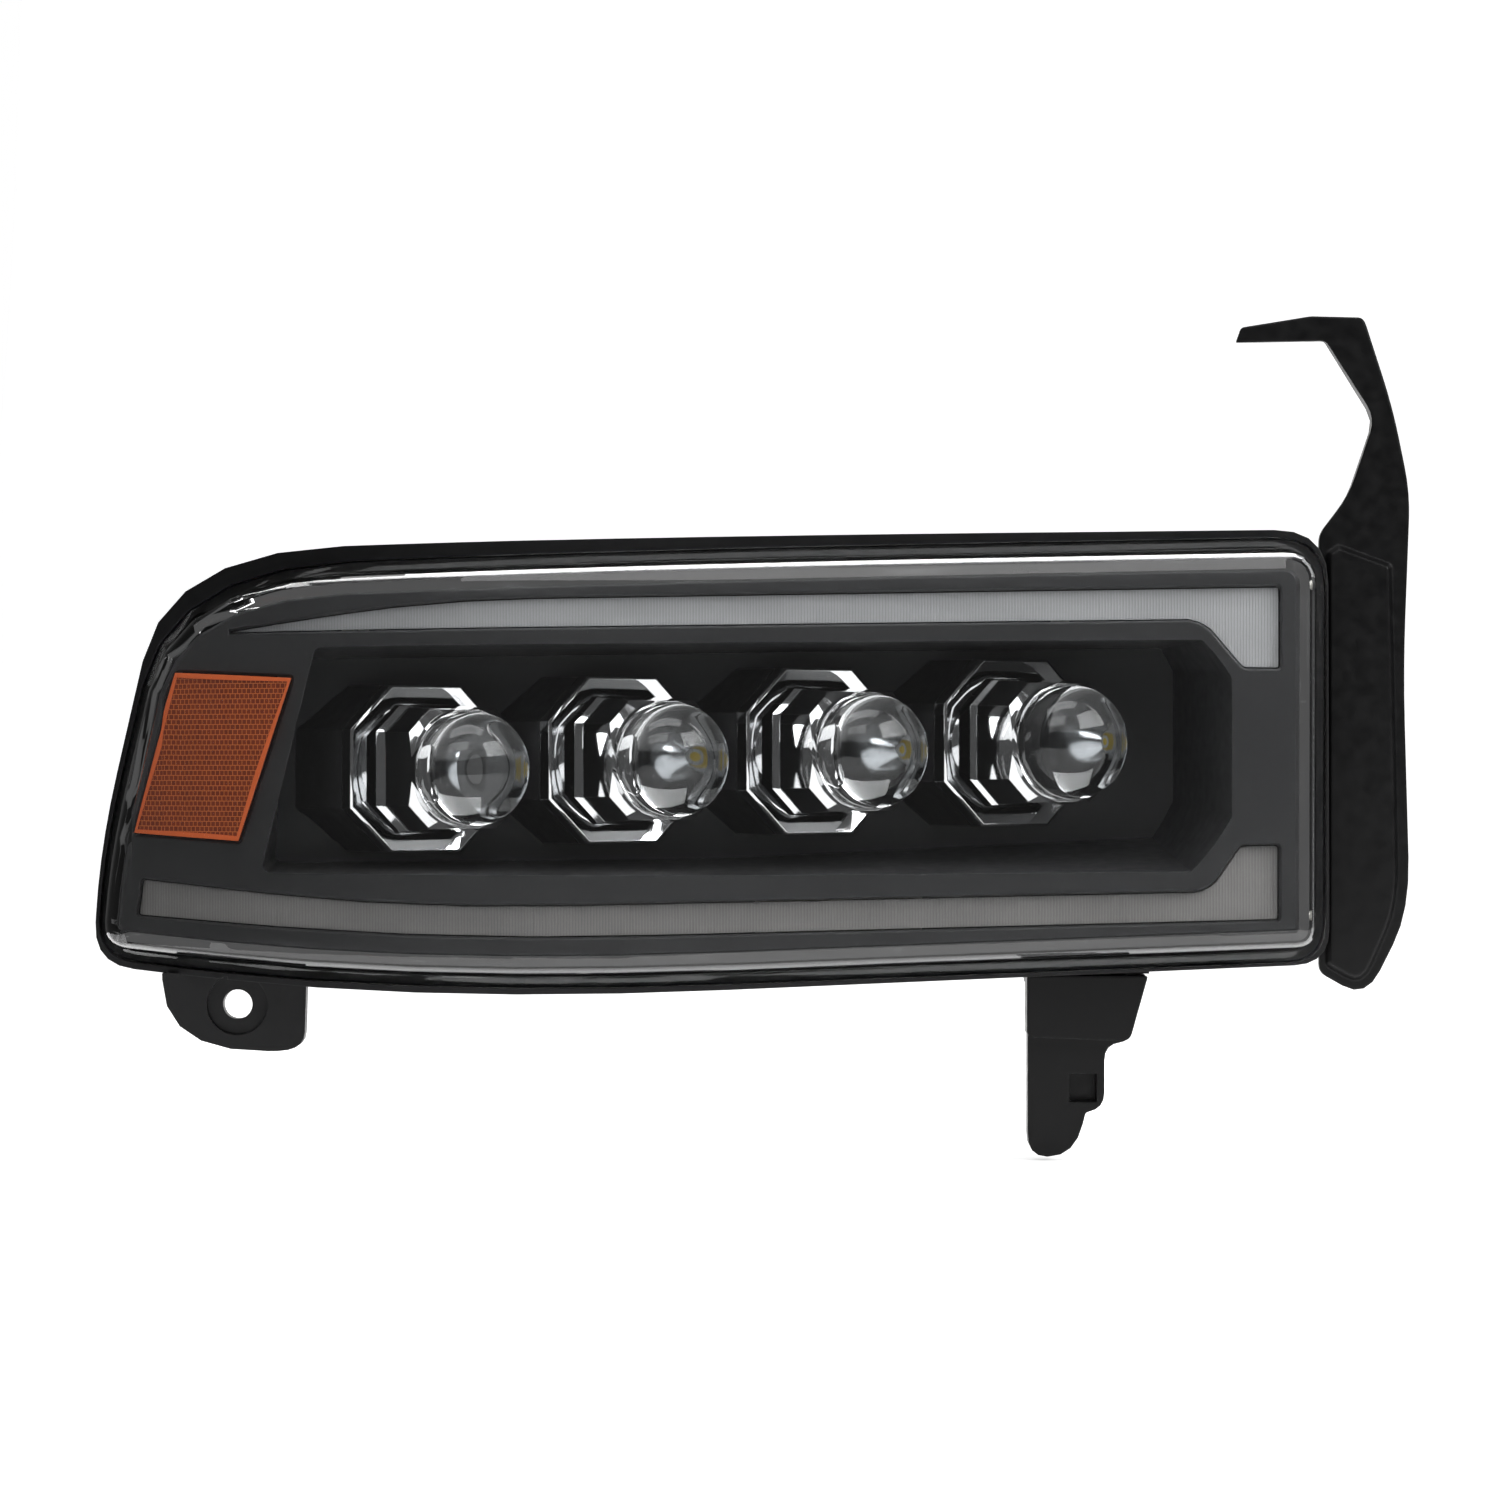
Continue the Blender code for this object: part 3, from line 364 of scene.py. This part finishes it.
def add_object(name, mesh, look):
    """A smooth-shaded object of a bmesh, in one material."""
    data = bpy.data.meshes.new(name)
    mesh.to_mesh(data)
    mesh.free()
    data.shade_smooth()
    data.materials.append(look.mat)
    made = bpy.data.objects.new(name, data)
    bpy.context.scene.collection.objects.link(made)
    return made


def show(name, mesh, look, body, place=Matrix(), stands_for=None, crease=CREASE):
    """Adds a piece that rides on a body, beside its nodes or in place of one of them."""
    mesh.transform(place)
    made = add_object(name, mesh, look)
    made.data.set_sharp_from_angle(angle=math.radians(crease))
    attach(made, body)
    if stands_for:
        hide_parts(stands_for)


def lens_profile():
    """A flat back, a round band and an aspheric dome."""
    back = [(0, LENS_REAR), (LENS_RADIUS * 0.5, LENS_REAR), (LENS_RADIUS - 0.5, LENS_REAR),
            (LENS_RADIUS, LENS_REAR - 0.5)]
    dome = []
    for k in range(1, LENS_STEPS):
        turn = math.radians(90 - 90 * k / LENS_STEPS)
        dome.append((LENS_RADIUS * math.sin(turn), LENS_FRONT - LENS_HEIGHT * math.cos(turn) ** 0.9))
    return back + [(LENS_RADIUS, LENS_FRONT + 0.3)] + dome + [(0, LENS_FRONT - LENS_HEIGHT)]


def reflector_rim():
    """A thin frame along the side reflector's outline, moved back along the cover's sweep."""
    mesh = bmesh.new()
    spots = [Vector(corner) * mm for corner in REFLECTOR]
    middle = sum(spots, Vector((0, 0))) / len(spots)
    sides = zip(spots, spots[1:] + spots[:1])
    outer = [a.lerp(b, k / RIM_POINTS) for a, b in sides for k in range(RIM_POINTS)]
    inner = [p + (middle - p).normalized() * RIM_WIDTH * mm for p in outer]
    profile = ((outer, RIM_REAR), (outer, RIM_FRONT + RIM_STEP), (outer, RIM_FRONT), (inner, RIM_FRONT),
               (inner, RIM_REAR))
    rows = [[mesh.verts.new((p.x, y * mm + sweep(p.x), p.y)) for p in points] for points, y in profile]
    for one, two in zip(rows, rows[1:] + rows[:1]):
        for k in range(len(outer)):
            j = (k + 1) % len(outer)
            mesh.faces.new((one[k], one[j], two[j], two[k]))
    bmesh.ops.recalc_face_normals(mesh, faces=mesh.faces)
    return mesh


for number in range(PROJECTORS):
    seat = Matrix.Translation(FIRST_RING + RING_PITCH * number) @ Matrix.Rotation(BEAM_YAW, 4, "Z")
    show(f"projector_lens_fine_{number + 1}", revolve(lens_profile(), 96), glass, "projector_carrier",
         seat, f"projector_lens_{number + 1}", LENS_CREASE)
    show(f"reflector_bowl_fine_{number + 1}", revolve(BOWL, 64), bowl_chrome, "projector_carrier",
         seat, f"reflector_bowl_{number + 1}", BOWL_CREASE)
    show(f"emitter_chip_{number + 1}", revolve(CHIP, 24), phosphor, "projector_carrier",
         seat)

show("side_reflector_rim", reflector_rim(), amber_rim, "headlight")
for number, height in enumerate(PIN_HEIGHTS):
    spot = Matrix.Translation(Vector((PIN_X, PIN_Y, height)) * mm)
    show(f"cover_pin_{number + 1}", revolve(PIN, 24), zinc, "headlight", spot)

# Camera, light and floor, in metres and watts

FLOOR_Z = -0.1535
PAPER_SIDES, PAPER_FRONT, PAPER_SPLIT = (-0.55, 1.6), -1.06, -0.17
ROLL_START, ROLL_RADIUS, ROLL_STEPS, WALL_TOP = 1.2, 0.8, 12, 3.2
SKY_SEEN, SKY_LIGHT = 1.0, 0.09

camera_data = bpy.data.cameras.new("camera")
camera_data.lens = 132.2
camera_data.sensor_width = 36
camera_data.clip_start, camera_data.clip_end = 0.05, 30
camera = bpy.data.objects.new("camera", camera_data)
camera.location = (0, -2.165, 0)
camera.rotation_euler = (math.radians(90), 0, 0)
bpy.context.scene.collection.objects.link(camera)
bpy.context.scene.camera = camera
bpy.context.scene.view_settings.view_transform = "Standard"


def lamp(name, place, aim, size, power):
    """A soft rectangular lamp that points at a spot."""
    data = bpy.data.lights.new(name, "AREA")
    data.shape = "RECTANGLE"
    data.size, data.size_y = size
    data.energy = power
    made = bpy.data.objects.new(name, data)
    made.location = place
    made.rotation_euler = (Vector(aim) - Vector(place)).to_track_quat("-Z", "Y").to_euler()
    bpy.context.scene.collection.objects.link(made)


lamp("key_top", (0, -0.50, 1.15), (0, -0.10, 0), (1.3, 0.6), 12)
lamp("front_high", (-0.2, -1.9, 1.3), (0, -0.10, 0), (1.6, 0.6), 8)
lamp("right_high", (1.0, -0.62, 0.55), (0, -0.10, 0), (0.8, 0.45), 9)
lamp("back_top", (0, 0.8, 0.9), (0, 0, 0), (1.4, 0.5), 10)

paper = Look("studio_paper", (0.92, 0.92, 0.92), 0.9, Specular_IOR_Level=0.1, Emission_Strength=0.6)
paper.set("Emission Color", (1, 1, 1, 1))
paper.vary_rough(20, 0.85, 0.95)


def paper_sheet(name, profile):
    """A strip of the pale paper through (y, z) pairs."""
    mesh = bmesh.new()
    left, right = [[mesh.verts.new((x, y, z)) for y, z in profile] for x in PAPER_SIDES]
    for k in range(len(profile) - 1):
        mesh.faces.new((left[k], right[k], right[k + 1], left[k + 1]))
    bmesh.ops.recalc_face_normals(mesh, faces=mesh.faces)
    made = add_object(name, mesh, paper)
    return made


def rolled_paper():
    """The floor's rounded turn up into the wall, and the wall's top."""
    turns = [math.radians(90 * k / ROLL_STEPS) for k in range(1, ROLL_STEPS + 1)]
    middle_z = FLOOR_Z + ROLL_RADIUS
    rolled = [(ROLL_START + ROLL_RADIUS * math.sin(a), middle_z - ROLL_RADIUS * math.cos(a)) for a in turns]
    return rolled + [(ROLL_START + ROLL_RADIUS, WALL_TOP)]


paper_sheet("studio_front", [(PAPER_FRONT, FLOOR_Z), (PAPER_SPLIT, FLOOR_Z)])
backdrop = paper_sheet("studio_sweep", [(PAPER_SPLIT, FLOOR_Z), (ROLL_START, FLOOR_Z)] + rolled_paper())
backdrop.visible_transmission = False  # the cover's edges would show it as thick white lines


def studio_sky():
    """White where the camera sees it, and faint as a light."""
    world = bpy.data.worlds.new("studio")
    world.use_nodes = True
    links, shades = world.node_tree.links, world.node_tree.nodes
    sky = shades["Background"]
    sky.inputs["Color"].default_value = (1, 1, 1, 1)
    path, level = shades.new("ShaderNodeLightPath"), shades.new("ShaderNodeMapRange")
    level.inputs["To Min"].default_value, level.inputs["To Max"].default_value = SKY_LIGHT, SKY_SEEN
    links.new(path.outputs["Is Camera Ray"], level.inputs["Value"])
    links.new(level.outputs[0], sky.inputs["Strength"])
    bpy.context.scene.world = world


studio_sky()
